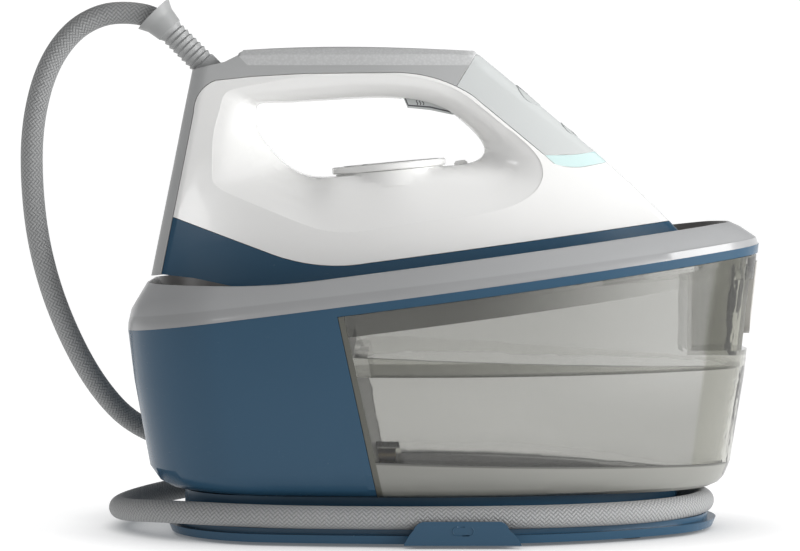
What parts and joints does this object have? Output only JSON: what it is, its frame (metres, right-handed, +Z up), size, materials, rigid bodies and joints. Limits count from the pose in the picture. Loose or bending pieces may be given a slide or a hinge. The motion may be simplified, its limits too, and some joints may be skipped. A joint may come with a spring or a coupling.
{
  "type": "steam generator iron",
  "caption": "Steam generator iron resting in the tilted tray of its station, with a removable tinted water tank and a hose wound round the base.",
  "frame": {"origin": "centre of the station's footprint on the table, under the middle of the box round the station and iron without the hose", "axes": "+X to the nose of the iron and the front of the tank, +Y away from the viewer's side, +Z up, y = 0 the plane of symmetry"},
  "size_m": [0.4353, 0.2217, 0.3116],
  "materials": {
    "blue_plastic": "glossy steel blue moulded plastic",
    "rim_plastic": "satin light grey moulded plastic",
    "tray_insert": "matt heat resistant moulding",
    "smoke_tank": "smoke tinted clear moulded plastic",
    "tank_inner": "dark translucent moulded plastic",
    "flap_plastic": "satin warm grey plastic",
    "white_plastic": "glossy warm white moulded plastic",
    "frame_grey": "satin mid grey moulded plastic",
    "panel_grey": "satin light grey moulded plastic",
    "grip_rubber": "grained soft touch skin",
    "light_band": "clear pale aqua light guide",
    "sole_steel": "polished stainless steel",
    "pin_steel": "drawn steel pin",
    "cast_aluminium": "die cast, as cast",
    "brass": "machined",
    "dark_plastic": "black moulded plastic",
    "board_green": "lacquered circuit board",
    "foot_rubber": "matt rubber",
    "boot_rubber": "ribbed grey rubber",
    "hose_braid": "grey woven braid over a silicone hose"
  },
  "bodies": {
    "station": {"base_plate": "blue_plastic", "base_neck": "blue_plastic", "rear_housing": "blue_plastic", "bulkhead": "tank_inner", "deck_frame": "blue_plastic", "rest_tray": "rim_plastic", "tray_floor": "tray_insert", "docking_nipple": "brass", "hose_gland": "dark_plastic", "mains_inlet": "dark_plastic", "boiler": "sole_steel", "boiler_heater": "sole_steel", "boiler_cradle": "dark_plastic", "pump": "dark_plastic", "solenoid_valve": "brass", "control_board": "board_green", "foot_1": "foot_rubber", "foot_2": "foot_rubber", "foot_3": "foot_rubber", "foot_4": "foot_rubber", "rest_pad_nose": "foot_rubber", "rest_pad_near": "foot_rubber", "rest_pad_far": "foot_rubber", "steam_hose_lower": "hose_braid"},
    "tank": {"tank_shell": "smoke_tank", "tank_cover": "tank_inner", "tank_baffle": "tank_inner", "tank_valve": "dark_plastic", "flap_pin": "pin_steel"},
    "flap": {"tank_flap": "flap_plastic"},
    "iron": {"iron_skirt": "blue_plastic", "iron_body_shell": "white_plastic", "light_band": "light_band", "control_panel": "panel_grey", "grip_inlay": "grip_rubber", "handle_frame": "frame_grey", "soleplate": "sole_steel", "heater_casting": "cast_aluminium", "chamber_cover": "cast_aluminium", "sole_thermostat": "dark_plastic", "steam_tube": "brass", "dial_pointer": "white_plastic", "trigger_pin": "pin_steel", "trigger_switch": "dark_plastic", "panel_board": "board_green", "hose_boot": "boot_rubber", "steam_hose_upper": "hose_braid"},
    "dial": {"temperature_dial": "white_plastic", "dial_spindle": "dark_plastic"},
    "trigger": {"steam_trigger": "white_plastic"},
    "steam_key": {"steam_button": "panel_grey"},
    "power_key": {"power_button": "panel_grey"}
  },
  "joints": [
    {"name": "iron_lift", "type": "slide", "parent": "station", "child": "iron", "axis": [-0.1305, 0, 0.9914], "range_m": [0, 0.08]},
    {"name": "tank_pull", "type": "slide", "parent": "station", "child": "tank", "axis": [1, 0, 0], "range_m": [0, 0.26]},
    {"name": "flap_swing", "type": "hinge", "parent": "tank", "child": "flap", "pos_m": [0.17851, 0, 0.1535], "axis": [0, -1, 0], "range_deg": [0, 60]},
    {"name": "dial_turn", "type": "hinge", "parent": "iron", "child": "dial", "pos_m": [-0.03201, 0, 0.2109], "axis": [-0.0906, 0, 0.9959], "range_deg": [-135, 135]},
    {"name": "trigger_press", "type": "hinge", "parent": "iron", "child": "trigger", "pos_m": [0.00616, 0, 0.25042], "axis": [0, 1, 0], "range_deg": [0, 6], "stiffness_Nm_per_rad": 0.5, "springref_deg": -5.73},
    {"name": "steam_key_press", "type": "slide", "parent": "iron", "child": "steam_key", "axis": [-0.6407, 0, -0.7678], "range_m": [0, 0.0012], "stiffness_N_per_m": 600, "springref_m": -0.001},
    {"name": "power_key_press", "type": "slide", "parent": "iron", "child": "power_key", "axis": [-0.6407, 0, -0.7678], "range_m": [0, 0.0012], "stiffness_N_per_m": 600, "springref_m": -0.001}
  ]
}
